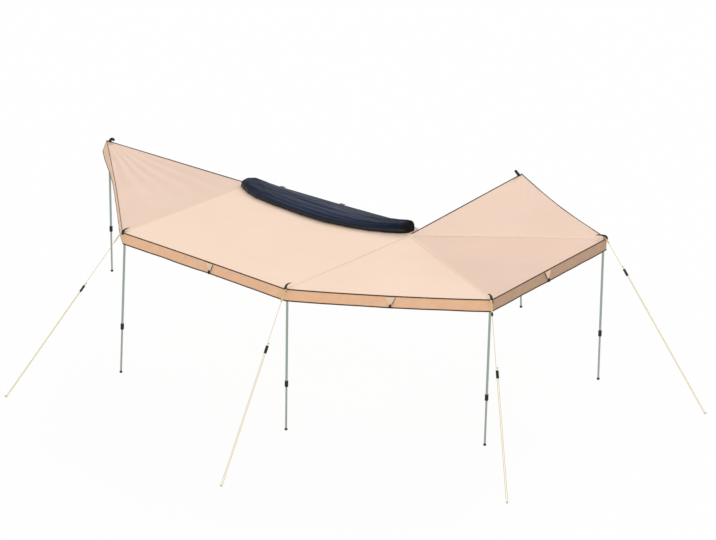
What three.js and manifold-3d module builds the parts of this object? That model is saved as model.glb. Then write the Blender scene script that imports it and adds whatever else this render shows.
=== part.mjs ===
// Wrap-around vehicle awning: six arms on two hubs, a canopy with a valance, poles and guy ropes.
// Millimetres, +X towards the vehicle's front, +Y outboard, +Z up.
// The origin is the underside centre of the middle roof bracket's foot.
import * as THREE from 'three';
import { mergeVertices } from 'three/addons/utils/BufferGeometryUtils.js';
import Module from 'manifold-3d';

const wasm = await Module();
wasm.setup();

// Overall layout
const mountHeight = 1700;
const hubSpacing = 2560;
const frontPinInset = 120;
const armLength = 2330;
const clothAboveMount = 20;
const cornerRise = 80;

// Clearances
const seatGap = 0.3;
const runGap = 0.3;
const overrun = 2;
const weldTolerance = 1e-4;

// Rail and roof brackets
const railWidth = 100;
const railHeight = 40;
const railWall = 3;
const railReach = 150;
const railOverhang = 60;
const wallThickness = 4;
const beadRadius = 5;
const wallStart = 60;
const capThickness = 3;
const capPlugLength = 25;
const footLength = 90;
const footWidth = 70;
const bracketThickness = 6;
const bracketSpacing = 950;
const legDrop = 110;
const slotRadius = 4.5;
const slotLength = 18;
const slotSpacing = 36;
const boltHeadRadius = 8;
const boltHeadHeight = 5;
const boltSides = 6;
const boltSpacing = 44;

// Hubs
const levelPitch = 36;
const levels = 4;
const knuckleRadius = 26;
const pinRadius = 11;
const pinHeadRadius = 18;
const pinHeadHeight = 5;
const pinFlangeRadius = 24;
const pinFlangeHeight = 3;
const pinStudRadius = 8;
const nutRadius = 14;
const nutHeight = 9;
const hubPlateThickness = 8;
const hubPlateHalfWidth = 45;
const hubRibHeight = 26;
const hubRibThickness = 6;

// Arms and tip fittings
const armSize = 25;
const armWall = 2;
const spigotLength = 40;
const fittingLength = 58;
const fittingInset = 20;
const postInset = 30;
const postRadius = 6;
const buttonRadius = 12;
const buttonHeight = 2;
const spikeRadius = 3;
const spikeHeight = 12;
const poleInset = 37;
const forkDrop = 36;
const cheekRadius = 12;
const cheekThickness = 4;
const polePinRadius = 4.5;
const polePinHead = 2.5;

// Poles
const tubeRadius = 14;
const tubeWall = 1.5;
const innerTubeRadius = 11.8;
const innerTubeWall = 1.5;
const eyeRadius = 11;
const eyeHalfWidth = 11;
const tongueLength = 22;
const clampHeight = 600;
const clampRadius = 21;
const clampLength = 75;
const clampChamfer = 3;
const clampGrips = 6;
const gripDepth = 1.5;
const tubeOverlap = 300;
const padRadius = 17;
const padHeight = 28;
const padRound = 6;

// Cloth
const clothThickness = 1;
const valanceHeight = 140;
const creaseGap = 4;
const hubOpening = 40;
const edgeBow = 18;
const rearEdgeBow = 48;
const clothSteps = 8;
const bagFrontOverhang = 80;
const bagRearSetback = 40;
const bagOutboard = 375;
const bagInboard = 20;
const bagHeight = 155;
const bagWall = 5;
const bagClearance = 0.8;
const bagRiseShare = 1.2;

// Guy ropes
const ropeRadius = 2.5;
const ropeLift = 0.6;
const ropeOut = 8;
const strandSpacing = 16;
const tensionerLength = 90;
const tensionerThickness = 12;
const tensionerWidth = 32;
const tensionerHeight = { b: 1190, c: 1247, d: 1135, e: 1455 };
const ropeTail = 30;
const pegRadius = 4;
const pegHeadRadius = 9;
const pegHeadHeight = 4;
const pegAbove = 22;
const pegLength = 240;
const pegTip = 20;

// Facets
const roundSides = 16;
const pinSides = 24;
const smallSides = 10;
const ropeSides = 8;

// Worked-out places
const groundZ = -mountHeight;
const wallBackY = footLength / 2 + seatGap;
const railFrontY = wallBackY + railWidth;
const rearPinY = railFrontY + railReach;
const frontPinY = rearPinY - frontPinInset;
const hubClothZ = clothAboveMount;
const tipClothZ = hubClothZ + cornerRise;
const armSlope = Math.atan2(cornerRise, armLength);
const knuckleHalf = levelPitch / 2 - runGap;
const armDrop = knuckleHalf + seatGap + pinHeadHeight + seatGap + clothThickness;
const topArmZ = hubClothZ - armDrop;
const bottomKnuckleZ = topArmZ - (levels - 1) * levelPitch - knuckleHalf;
const hubPlateTop = bottomKnuckleZ - seatGap - pinFlangeHeight - seatGap;
const railTop = hubPlateTop - hubPlateThickness - seatGap;
const hubX = { rear: -hubSpacing / 2, front: hubSpacing / 2 };
const hubY = { rear: rearPinY, front: frontPinY };

// Azimuths are from the vehicle's front towards outboard.
const arms = [
  { name: 'a', hub: 'front', azimuth: 3, level: 1 },
  { name: 'b', hub: 'front', azimuth: 90, level: 0 },
  { name: 'c', hub: 'rear', azimuth: 91, level: 0 },
  { name: 'd', hub: 'rear', azimuth: 151, level: 1 },
  { name: 'e', hub: 'rear', azimuth: 211, level: 2 },
  { name: 'f', hub: 'rear', azimuth: 271, level: 3 },
];

// Shares of the arm length from the cloth corner: out along the arm and sideways to the left of it.
const footShares = {
  a: [-0.009, 0.004],
  b: [0.026, -0.019],
  c: [-0.032, -0.03],
  d: [-0.01, -0.019],
  e: [-0.018, -0.018],
  f: [0.007, -0.01],
};
const pegShares = {
  b: [0.61, -0.27],
  c: [0.64, 0.114],
  d: [0.595, -0.184],
  e: [0.535, -0.365],
};

const paint = (colour, roughness, metalness) =>
  new THREE.MeshStandardMaterial({ color: colour, roughness, metalness });
const materials = {
  aluminium: paint('#a7b4ab', 0.42, 0.8),
  black: paint('#16181a', 0.5, 0),
  steel: paint('#b9bcc0', 0.35, 0.9),
  canvas: paint('#f4d6c0', 0.85, 0),
  bag: paint('#262c3b', 0.75, 0),
  rope: paint('#efe9bd', 0.8, 0),
};

const part = new THREE.Group();

function addMesh(name, solid, material, matrix = new THREE.Matrix4()) {
  const mesh = new THREE.Mesh(toGeometry(solid), materials[material]);
  mesh.name = name;
  mesh.applyMatrix4(matrix);
  part.add(mesh);
}

// Solids: every shape below becomes a manifold, so that it can be joined and cut.
function toSolid(geometry) {
  const bare = geometry.clone();
  bare.deleteAttribute('normal');
  bare.deleteAttribute('uv');
  const merged = mergeVertices(bare, weldTolerance);
  const vertProperties = new Float32Array(merged.attributes.position.array);
  const triVerts = new Uint32Array(merged.index.array);
  return new wasm.Manifold(new wasm.Mesh({ numProp: 3, vertProperties, triVerts }));
}

function toGeometry(solid) {
  const mesh = solid.getMesh();
  const geometry = new THREE.BufferGeometry();
  geometry.setAttribute('position', new THREE.BufferAttribute(mesh.vertProperties, 3));
  geometry.setIndex(new THREE.BufferAttribute(mesh.triVerts, 1));
  return geometry;
}

function box(x0, x1, y0, y1, z0, z1) {
  const geometry = new THREE.BoxGeometry(x1 - x0, y1 - y0, z1 - z0);
  geometry.translate((x0 + x1) / 2, (y0 + y1) / 2, (z0 + z1) / 2);
  return toSolid(geometry);
}

function cylinderBetween(from, to, radius, sides) {
  const along = new THREE.Vector3().subVectors(to, from);
  const geometry = new THREE.CylinderGeometry(radius, radius, along.length(), sides);
  geometry.translate(0, along.length() / 2, 0);
  const turn = new THREE.Quaternion().setFromUnitVectors(new THREE.Vector3(0, 1, 0), along.normalize());
  geometry.applyQuaternion(turn);
  geometry.translate(from.x, from.y, from.z);
  return toSolid(geometry);
}

function upright(x, y, z0, z1, radius, sides = roundSides) {
  return cylinderBetween(new THREE.Vector3(x, y, z0), new THREE.Vector3(x, y, z1), radius, sides);
}

function turned(points, sides = roundSides) {
  const geometry = new THREE.LatheGeometry(points.map(([r, z]) => new THREE.Vector2(r, z)), sides);
  geometry.rotateX(Math.PI / 2);
  return toSolid(geometry);
}

function joined(solids) {
  return solids.reduce((whole, piece) => whole.add(piece));
}

// A loft through rings of the same count of points. capQuads covers the ring's inside with quads.
function loft(rings, capQuads) {
  const count = rings[0].length;
  const position = rings.flat().flatMap((p) => [p.x, p.y, p.z]);
  const index = [];
  for (let i = 0; i + 1 < rings.length; i += 1) {
    for (let k = 0; k < count; k += 1) {
      const a = i * count + k;
      const b = i * count + ((k + 1) % count);
      index.push(a, b, b + count, a, b + count, a + count);
    }
  }
  const last = (rings.length - 1) * count;
  for (const [a, b, c, d] of capQuads) {
    index.push(a, c, b, a, d, c);
    index.push(last + a, last + b, last + c, last + a, last + c, last + d);
  }
  const geometry = new THREE.BufferGeometry();
  geometry.setAttribute('position', new THREE.Float32BufferAttribute(position, 3));
  geometry.setIndex(index);
  return toSolid(geometry);
}

// Rail: a hollow box with a back wall and a bead that the canopy's inner edge slides on.
function buildRail() {
  const x0 = hubX.rear - railOverhang;
  const x1 = hubX.front + railOverhang;
  const bottom = railTop - railHeight;
  const tube = box(x0, x1, wallBackY, railFrontY, bottom, railTop);
  const bore = box(
    x0 - overrun,
    x1 + overrun,
    wallBackY + railWall,
    railFrontY - railWall,
    bottom + railWall,
    railTop - railWall,
  );
  const wallX = hubX.rear + wallStart;
  const beadZ = hubClothZ - beadRadius;
  const wall = box(wallX, x1, wallBackY, wallBackY + wallThickness, railTop - railWall, beadZ);
  const beadY = wallBackY + beadRadius;
  const bead = cylinderBetween(
    new THREE.Vector3(wallX, beadY, beadZ),
    new THREE.Vector3(x1, beadY, beadZ),
    beadRadius,
    ropeSides,
  );
  addMesh('base_rail', joined([tube, wall, bead]).subtract(bore), 'aluminium');
}

// Rail caps: moulded covers that plug into the rail's open ends.
function buildRailCap(name, side) {
  const railEnd = side > 0 ? hubX.front + railOverhang : hubX.rear - railOverhang;
  const face = railEnd + side * seatGap;
  const outer = face + side * capThickness;
  const inner = railEnd - side * capPlugLength;
  const slab = (x0, x1, inset) => box(
    Math.min(x0, x1),
    Math.max(x0, x1),
    wallBackY + inset,
    railFrontY - inset,
    railTop - railHeight + inset,
    railTop - inset,
  );
  const plug = slab(inner, (face + outer) / 2, railWall + seatGap);
  addMesh(name, slab(face, outer, 0).add(plug), 'black');
}

// Roof brackets: an angle with a slotted foot, bolted to the rail's back wall.
function slot(x, y) {
  const half = slotLength / 2 - slotRadius;
  const top = bracketThickness + overrun;
  const ends = [-half, half].map((dx) => upright(x + dx, y, -overrun, top, slotRadius, smallSides));
  const middle = box(x - half, x + half, y - slotRadius, y + slotRadius, -overrun, top);
  return joined([...ends, middle]);
}

function buildRoofBracket(name, x) {
  const half = footWidth / 2;
  const legY = wallBackY - seatGap;
  const foot = box(x - half, x + half, -footLength / 2, legY, 0, bracketThickness);
  const leg = box(x - half, x + half, legY - bracketThickness, legY, -legDrop, bracketThickness);
  const heads = [-1, 1].map((side) => {
    const face = legY - bracketThickness;
    const from = new THREE.Vector3(x + (side * boltSpacing) / 2, face - boltHeadHeight, -legDrop / 2);
    const to = new THREE.Vector3(from.x, face + bracketThickness / 2, from.z);
    return cylinderBetween(from, to, boltHeadRadius, boltSides);
  });
  const slots = joined([slot(x, -slotSpacing / 2), slot(x, slotSpacing / 2)]);
  addMesh(name, joined([foot, leg, ...heads]).subtract(slots), 'black');
}

// Hubs: a ribbed plate bolted on the rail carries the king pin that all arms of one hub turn on.
function buildHubBracket(name, x, pinY) {
  const z1 = hubPlateTop;
  const z0 = z1 - hubPlateThickness;
  const innerY = wallBackY + wallThickness + beadRadius + seatGap;
  const outerY = pinY + hubPlateHalfWidth;
  const plate = box(x - hubPlateHalfWidth, x + hubPlateHalfWidth, innerY, outerY, z0, z1);
  const ribs = [-1, 1].map((side) => {
    const edge = x + side * (hubPlateHalfWidth - hubRibThickness / 2);
    const half = hubRibThickness / 2;
    return box(edge - half, edge + half, railFrontY + seatGap, outerY, z0 - hubRibHeight, z0 + overrun);
  });
  const boltY = (wallBackY + railFrontY) / 2;
  const bolts = [-1, 1].map((side) => {
    const boltX = x + (side * boltSpacing) / 2;
    return upright(boltX, boltY, z1 - overrun, z1 + boltHeadHeight, boltHeadRadius, boltSides);
  });
  const hole = upright(x, pinY, z0 - overrun, z1 + overrun, pinStudRadius + seatGap, pinSides);
  addMesh(name, joined([plate, ...ribs, ...bolts]).subtract(hole), 'black');
}

function buildKingPin(name, x, pinY, lowestLevel) {
  const top = topArmZ + knuckleHalf + seatGap;
  const shoulder = topArmZ - lowestLevel * levelPitch - knuckleHalf - seatGap;
  const base = hubPlateTop + seatGap;
  const under = hubPlateTop - hubPlateThickness - seatGap;
  const profile = [
    [0, under - nutHeight],
    [nutRadius, under - nutHeight],
    [nutRadius, under],
    [pinStudRadius, under],
    [pinStudRadius, base],
    [pinFlangeRadius, base],
    [pinFlangeRadius, shoulder],
    [pinRadius, shoulder],
    [pinRadius, top],
    [pinHeadRadius, top],
    [pinHeadRadius, top + pinHeadHeight],
    [0, top + pinHeadHeight],
  ];
  addMesh(name, turned(profile, pinSides), 'steel', new THREE.Matrix4().makeTranslation(x, pinY, 0));
}

// An arm's own frame: X out along its slope, Y to its left, origin on the pin axis at its centre.
function armMatrix(arm) {
  const z = topArmZ - arm.level * levelPitch;
  const place = new THREE.Matrix4().makeTranslation(hubX[arm.hub], hubY[arm.hub], z);
  const turn = new THREE.Matrix4().makeRotationZ(THREE.MathUtils.degToRad(arm.azimuth));
  const tilt = new THREE.Matrix4().makeRotationY(-armSlope);
  return { level: place.clone().multiply(turn), sloped: place.multiply(turn).multiply(tilt) };
}

// The cloth corner at an arm's tip, moved out and to the left by the given lengths.
function besideTip(arm, out, left, z) {
  const a = THREE.MathUtils.degToRad(arm.azimuth);
  const reach = armLength + out;
  const x = hubX[arm.hub] + reach * Math.cos(a) - left * Math.sin(a);
  const y = hubY[arm.hub] + reach * Math.sin(a) + left * Math.cos(a);
  return new THREE.Vector3(x, y, z);
}

function buildArm(arm) {
  const half = armSize / 2;
  const inner = half - armWall;
  const end = armLength - fittingInset - fittingLength;
  const knuckle = upright(0, 0, -knuckleHalf, knuckleHalf, knuckleRadius, pinSides);
  const tilt = new THREE.Matrix4().makeRotationY(-armSlope);
  const tube = new THREE.BoxGeometry(end - pinRadius - overrun, armSize, armSize);
  tube.translate((end + pinRadius + overrun) / 2, 0, 0);
  tube.applyMatrix4(tilt);
  const bore = new THREE.BoxGeometry(end - knuckleRadius, 2 * inner, 2 * inner);
  bore.translate((end + knuckleRadius) / 2 + overrun, 0, 0);
  bore.applyMatrix4(tilt);
  const pinBore = upright(0, 0, -levelPitch, levelPitch, pinRadius + runGap, pinSides);
  const solid = knuckle.add(toSolid(tube)).subtract(toSolid(bore)).subtract(pinBore);
  addMesh(`arm_${arm.name}`, solid, 'aluminium', armMatrix(arm).level);
}

// Each pole hangs from its arm's fork straight to its foot, so the fork is squared to the pole.
function poleFrame(arm) {
  const toWorld = armMatrix(arm).sloped;
  const pivot = new THREE.Vector3(armLength - poleInset, 0, -forkDrop).applyMatrix4(toWorld);
  const [out, left] = footShares[arm.name].map((share) => share * armLength);
  const foot = besideTip(arm, out, left, groundZ);
  const up = new THREE.Vector3().subVectors(pivot, foot);
  const length = up.length();
  up.normalize();
  const outward = new THREE.Vector3(1, 0, 0).transformDirection(toWorld);
  const across = new THREE.Vector3().crossVectors(up, outward).normalize();
  const forward = new THREE.Vector3().crossVectors(across, up);
  const matrix = new THREE.Matrix4().makeBasis(forward, across, up).setPosition(pivot);
  return { matrix, length };
}

function buildTipFitting(arm, pole) {
  const half = armSize / 2;
  const start = armLength - fittingInset - fittingLength;
  const block = box(start + seatGap, armLength - fittingInset, -half, half, -half, half);
  const plug = half - armWall - seatGap;
  const spigot = box(start - spigotLength, start + overrun, -plug, plug, -plug, plug);
  const clothUnder = armDrop + arm.level * levelPitch - clothThickness - seatGap;
  const postX = armLength - postInset;
  const post = upright(postX, 0, 0, clothUnder, postRadius, smallSides);
  const button = upright(postX, 0, clothUnder - buttonHeight, clothUnder, buttonRadius);
  const spikeTop = clothUnder + clothThickness + spikeHeight;
  const spike = upright(postX, 0, clothUnder - buttonHeight, spikeTop, spikeRadius, ropeSides);
  const toArm = armMatrix(arm).sloped.invert().multiply(pole.matrix);
  const solid = joined([block, spigot, post, button, spike, forkSolid(toArm)]);
  addMesh(`tip_fitting_${arm.name}`, solid, 'black', armMatrix(arm).sloped);
}

function forkSolid(toArm) {
  const inside = eyeHalfWidth + runGap;
  const outside = inside + cheekThickness;
  const pieces = [];
  for (const side of [-1, 1]) {
    const from = new THREE.Vector3(0, side * inside, 0);
    const to = new THREE.Vector3(0, side * outside, 0);
    const low = cylinderBetween(from, to, cheekRadius, roundSides);
    const y0 = Math.min(side * inside, side * outside);
    const y1 = Math.max(side * inside, side * outside);
    pieces.push(low, box(-cheekRadius, cheekRadius, y0, y1, 0, forkDrop));
  }
  const pinEnd = outside + polePinHead;
  pieces.push(cylinderBetween(
    new THREE.Vector3(0, -pinEnd, 0),
    new THREE.Vector3(0, pinEnd, 0),
    polePinRadius,
    smallSides,
  ));
  return joined(pieces).transform(toArm.elements);
}

// Poles: an upper tube with an eye on the fork's pin, a twist clamp and a sliding lower tube.
function buildPole(arm, pole) {
  const upperLength = pole.length - clampHeight;
  const eye = cylinderBetween(
    new THREE.Vector3(0, -eyeHalfWidth, 0),
    new THREE.Vector3(0, eyeHalfWidth, 0),
    eyeRadius,
    roundSides,
  );
  const tongue = box(-eyeRadius, eyeRadius, -eyeHalfWidth, eyeHalfWidth, -tongueLength, 0);
  const tubeTop = -tongueLength + overrun;
  const tube = upright(0, 0, -upperLength, tubeTop, tubeRadius);
  const tubeBore = upright(0, 0, -upperLength - overrun, tubeTop - eyeRadius, tubeRadius - tubeWall);
  const pinBore = cylinderBetween(
    new THREE.Vector3(0, -2 * eyeHalfWidth, 0),
    new THREE.Vector3(0, 2 * eyeHalfWidth, 0),
    polePinRadius + runGap,
    smallSides,
  );
  const upper = joined([eye, tongue, tube]).subtract(tubeBore).subtract(pinBore);
  addMesh(`upper_pole_${arm.name}`, upper, 'aluminium', pole.matrix);
  addMesh(`pole_clamp_${arm.name}`, clampSolid(upperLength), 'black', pole.matrix);
  addMesh(`lower_pole_${arm.name}`, lowerPoleSolid(upperLength, pole.length), 'aluminium', pole.matrix);
}

function clampSolid(upperLength) {
  const half = clampLength / 2;
  const wide = tubeRadius + runGap;
  const narrow = innerTubeRadius + runGap;
  const step = -seatGap;
  const profile = [
    [narrow, -half],
    [clampRadius - clampChamfer, -half],
    [clampRadius, -half + clampChamfer],
    [clampRadius, half - clampChamfer],
    [clampRadius - clampChamfer, half],
    [wide, half],
    [wide, step],
    [narrow, step],
    [narrow, -half],
  ];
  let solid = turned(profile);
  const gripRadius = tubeRadius / 2;
  const reach = clampRadius + gripRadius - gripDepth;
  for (let i = 0; i < clampGrips; i += 1) {
    const angle = (i / clampGrips) * 2 * Math.PI;
    const x = reach * Math.cos(angle);
    const y = reach * Math.sin(angle);
    solid = solid.subtract(upright(x, y, -half / 2, half / 2, gripRadius, ropeSides));
  }
  return solid.translate([0, 0, -upperLength]);
}

function lowerPoleSolid(upperLength, length) {
  const bore = innerTubeRadius - innerTubeWall;
  return turned([
    [0, -length],
    [padRadius - padRound, -length],
    [padRadius, -length + padRound],
    [padRadius, -length + padHeight - padRound],
    [innerTubeRadius, -length + padHeight],
    [innerTubeRadius, tubeOverlap - upperLength],
    [bore, tubeOverlap - upperLength],
    [bore, -length + padHeight],
    [0, -length + padHeight],
  ]);
}

// Cloth: a panel runs from one crease to the next, over the outer edge and down as the valance.
function panelSection(inner, outer, knee = null) {
  const inward = new THREE.Vector3().subVectors(inner, outer).setZ(0).setLength(clothThickness);
  const down = (point, drop) => point.clone().setZ(point.z - drop);
  const hem = down(outer, valanceHeight);
  const under = down(outer, clothThickness).add(inward);
  const top = knee ? [inner, knee, outer] : [inner, outer];
  const back = [...top].reverse().slice(1).map((point) => down(point, clothThickness));
  return [...top, hem, hem.clone().add(inward), under, ...back];
}

// A point of an edge that is drawn in by bow at its middle.
function bowed(from, to, t, bow, inwardTo) {
  const point = from.clone().lerp(to, t);
  const inward = new THREE.Vector3().subVectors(inwardTo, point).setZ(0).normalize();
  const bowShare = 4 * t * (1 - t);
  return point.addScaledVector(inward, bow * bowShare);
}

function creaseEnds(arm, side) {
  const tip = besideTip(arm, 0, side * creaseGap, tipClothZ);
  const hub = besideTip(arm, hubOpening - armLength, side * creaseGap, hubClothZ);
  return { hub, tip };
}

function buildPanel(name, first, second, bow) {
  const from = creaseEnds(first, 1);
  const to = creaseEnds(second, -1);
  const pin = new THREE.Vector3(hubX[first.hub], hubY[first.hub], hubClothZ);
  const rings = [];
  for (let i = 0; i <= clothSteps; i += 1) {
    const t = i / clothSteps;
    const outer = bowed(from.tip, to.tip, t, bow, pin);
    rings.push(panelSection(from.hub.clone().lerp(to.hub, t), outer));
  }
  addMesh(name, loft(rings, [[0, 1, 4, 5], [1, 2, 3, 4]]), 'canvas');
}

// The side panel's inner edge lies along the rail's wall, so each section has a knee above the pins.
function buildSidePanel(name, front, rear, t0, t1) {
  const tips = { from: creaseEnds(front, 1), to: creaseEnds(rear, -1) };
  const wallY = wallBackY + 2 * beadRadius + seatGap;
  const gap = seatGap / hubSpacing;
  const rings = [];
  for (let i = 0; i <= clothSteps; i += 1) {
    const t = THREE.MathUtils.lerp(t0 + gap, t1 - gap, i / clothSteps);
    const knee = tips.from.hub.clone().lerp(tips.to.hub, t);
    knee.y -= hubOpening;
    const inner = new THREE.Vector3(knee.x, wallY, hubClothZ);
    const outer = bowed(tips.from.tip, tips.to.tip, t, edgeBow, inner);
    rings.push(panelSection(inner, outer, knee));
  }
  addMesh(name, loft(rings, [[0, 1, 6, 7], [1, 2, 5, 6], [2, 3, 4, 5]]), 'canvas');
}

// Travel bag: a slack cover, open below, over the rail and the canopy's inner edge. Its inboard side is
// straight and its outboard hem a long curve. It stands over the hubs, sags between them with a low
// inboard side, and is drawn in at both ends.
function bagSolid(inset, drop) {
  const stationShares = [0, 0.035, 0.09, 0.16, 0.26, 0.385, 0.515, 0.67, 0.825, 0.89, 0.94, 0.98, 1];
  const inboardShares = [0.14, 0.1, 0.04, 0, 0, 0, 0, 0, 0.02, 0.06, 0.12, 0.2, 0.28];
  const outboardShares = [0.37, 0.5, 0.635, 0.76, 0.865, 0.94, 0.93, 0.87, 0.78, 0.69, 0.58, 0.48, 0.42];
  const heightShares = [0.78, 0.82, 0.74, 0.6, 0.52, 0.5, 0.5, 0.52, 0.64, 0.68, 0.68, 0.5, 0.28];
  const shoulderShares = [1, 0.9, 0.65, 0.45, 0.35, 0.35, 0.35, 0.35, 0.45, 0.75, 1, 1, 1];
  const baseShares = [[0, 0], [0.5, 0], [1, 0]];
  const profileShares = [...baseShares, [1, 0.28], [0.86, 0.7], [0.5, 1], [0.14, 0.72], [0, 0.3]];
  const x0 = hubX.rear + bagRearSetback + inset;
  const x1 = hubX.front + bagFrontOverhang - inset;
  const inboard = wallBackY - bagInboard - rearPinY;
  const width = bagOutboard - inboard;
  const base = hubClothZ + bagClearance - drop;
  const rings = stationShares.map((share, i) => {
    const x = THREE.MathUtils.lerp(x0, x1, share);
    const beyond = Math.max(0, x - hubX.front);
    return profileShares.map(([across, up]) => {
      const acrossBag = THREE.MathUtils.lerp(inboardShares[i], outboardShares[i], across);
      const y = rearPinY + inboard + acrossBag * width + inset * Math.sign(0.5 - across);
      const away = beyond + Math.max(0, y - frontPinY);
      const rise = away * Math.tan(armSlope) * bagRiseShare;
      const sideShare = across < 0.5 ? shoulderShares[i] : 1;
      const full = (bagHeight - rise) * heightShares[i] * sideShare;
      const height = Math.max(0, up * full - inset) + (up > 0 ? drop : 0);
      return new THREE.Vector3(x, y, base + rise + height);
    });
  });
  return loft(rings, [[0, 1, 6, 7], [1, 2, 3, 6], [3, 4, 5, 6]]);
}

function buildBag() {
  addMesh('travel_bag', bagSolid(0, 0).subtract(bagSolid(bagWall, overrun)), 'bag');
}

// Guy ropes: one line from the corner spike through the tensioner, round the peg and back up.
function ropeFrame(arm) {
  const start = new THREE.Vector3(armLength - postInset, 0, armDrop + arm.level * levelPitch);
  start.applyMatrix4(armMatrix(arm).sloped);
  const [out, left] = pegShares[arm.name].map((share) => share * armLength);
  const peg = besideTip(arm, out, left, groundZ);
  const level = new THREE.Vector3().subVectors(peg, start).setZ(0).normalize();
  const lift = ropeRadius + ropeLift;
  const from = start.clone().addScaledVector(level, spikeRadius + seatGap);
  from.z += lift;
  const edge = start.clone().addScaledVector(level, postInset + ropeOut);
  edge.z = from.z + (postInset + ropeOut) * Math.sin(armSlope);
  const along = new THREE.Vector3().subVectors(peg, edge).normalize();
  const side = new THREE.Vector3(-level.y, level.x, 0);
  const upward = new THREE.Vector3().crossVectors(along, side);
  return { from, edge, peg, along, side, upward };
}

function buildRope(arm) {
  const { from, edge, peg, along, side, upward } = ropeFrame(arm);
  const clearOf = pegRadius + ropeRadius + seatGap;
  const half = strandSpacing / 2;
  const drop = (edge.z - groundZ) / Math.abs(along.z);
  const share = (edge.z - (tensionerHeight[arm.name] - mountHeight)) / (edge.z - groundZ);
  const middle = drop * share;
  const end = drop - ropeRadius / Math.abs(along.z);
  const onRun = (distance) => edge.clone().addScaledVector(along, distance);
  const at = (distance, across) => onRun(distance).addScaledVector(side, across);
  const tail = at(middle - tensionerLength / 2 - ropeTail, 2 * half);
  const route = [from, edge, at(end, 0), at(end, 2 * half), tail];
  addMesh(`guy_rope_${arm.name}`, mitredTube(route, ropeRadius), 'rope');

  const centre = at(middle, half);
  const down = upward.clone().negate();
  const matrix = new THREE.Matrix4().makeBasis(down, side, along).setPosition(centre);
  addMesh(`rope_tensioner_${arm.name}`, tensionerSolid(half), 'black', matrix);

  const pegCentre = at(end - clearOf, half);
  const pegMatrix = new THREE.Matrix4().makeBasis(along, side, upward).setPosition(pegCentre);
  addMesh(`ground_peg_${arm.name}`, pegSolid(), 'steel', pegMatrix);
}

// A round tube along straight runs, with a mitred ring at each corner.
function mitredTube(points, radius) {
  const runs = points.slice(1).map((point, i) => point.clone().sub(points[i]).normalize());
  const across = new THREE.Vector3(0, 0, 1).cross(runs[0]).normalize();
  const over = new THREE.Vector3().crossVectors(runs[0], across);
  let ring = Array.from({ length: ropeSides }, (_, k) => {
    const angle = (k / ropeSides) * 2 * Math.PI;
    const point = points[0].clone().addScaledVector(across, radius * Math.cos(angle));
    return point.addScaledVector(over, radius * Math.sin(angle));
  });
  const rings = [ring];
  runs.forEach((run, i) => {
    const normal = run.clone().add(runs[i + 1] ?? run).normalize();
    const plane = new THREE.Plane().setFromNormalAndCoplanarPoint(normal, points[i + 1]);
    ring = ring.map((p) => p.clone().addScaledVector(run, -plane.distanceToPoint(p) / normal.dot(run)));
    rings.push(ring);
  });
  return loft(rings, [[0, 1, 2, 3], [0, 3, 4, 7], [4, 5, 6, 7]]);
}

function tensionerSolid(half) {
  const wide = tensionerWidth / 2;
  const thin = tensionerThickness / 2;
  const long = tensionerLength / 2;
  const body = box(-thin, thin, -wide, wide, -long, long);
  const end = long + overrun;
  const bores = [-half, half].map((y) => upright(0, y, -end, end, ropeRadius + runGap, ropeSides));
  return body.subtract(joined(bores));
}

function pegSolid() {
  return turned([
    [0, pegAbove - pegLength],
    [pegRadius, pegAbove - pegLength + pegTip],
    [pegRadius, pegAbove - pegHeadHeight],
    [pegHeadRadius, pegAbove - pegHeadHeight],
    [pegHeadRadius, pegAbove],
    [0, pegAbove],
  ], smallSides);
}

const byName = Object.fromEntries(arms.map((arm) => [arm.name, arm]));

buildRail();
buildRailCap('rail_cap_rear', -1);
buildRailCap('rail_cap_front', 1);
buildRoofBracket('roof_bracket_rear', -bracketSpacing);
buildRoofBracket('roof_bracket_middle', 0);
buildRoofBracket('roof_bracket_front', bracketSpacing);
buildHubBracket('hub_bracket_rear', hubX.rear, rearPinY);
buildHubBracket('hub_bracket_front', hubX.front, frontPinY);
buildKingPin('king_pin_rear', hubX.rear, rearPinY, levels - 1);
buildKingPin('king_pin_front', hubX.front, frontPinY, byName.a.level);

for (const arm of arms) {
  const pole = poleFrame(arm);
  buildArm(arm);
  buildTipFitting(arm, pole);
  buildPole(arm, pole);
  if (pegShares[arm.name]) {
    buildRope(arm);
  }
}

buildPanel('canopy_ab', byName.a, byName.b, edgeBow);
buildSidePanel('canopy_side_front', byName.b, byName.c, 0, 0.5);
buildSidePanel('canopy_side_rear', byName.b, byName.c, 0.5, 1);
buildPanel('canopy_cd', byName.c, byName.d, edgeBow);
buildPanel('canopy_de', byName.d, byName.e, edgeBow);
buildPanel('canopy_ef', byName.e, byName.f, rearEdgeBow);
buildBag();

export default part;
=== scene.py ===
from functools import partial, partialmethod
from math import atan2, cos, degrees, exp, hypot, pi, radians, sin, sqrt, tan

import bmesh
import bpy
from mathutils import Matrix, Vector, noise


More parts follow.
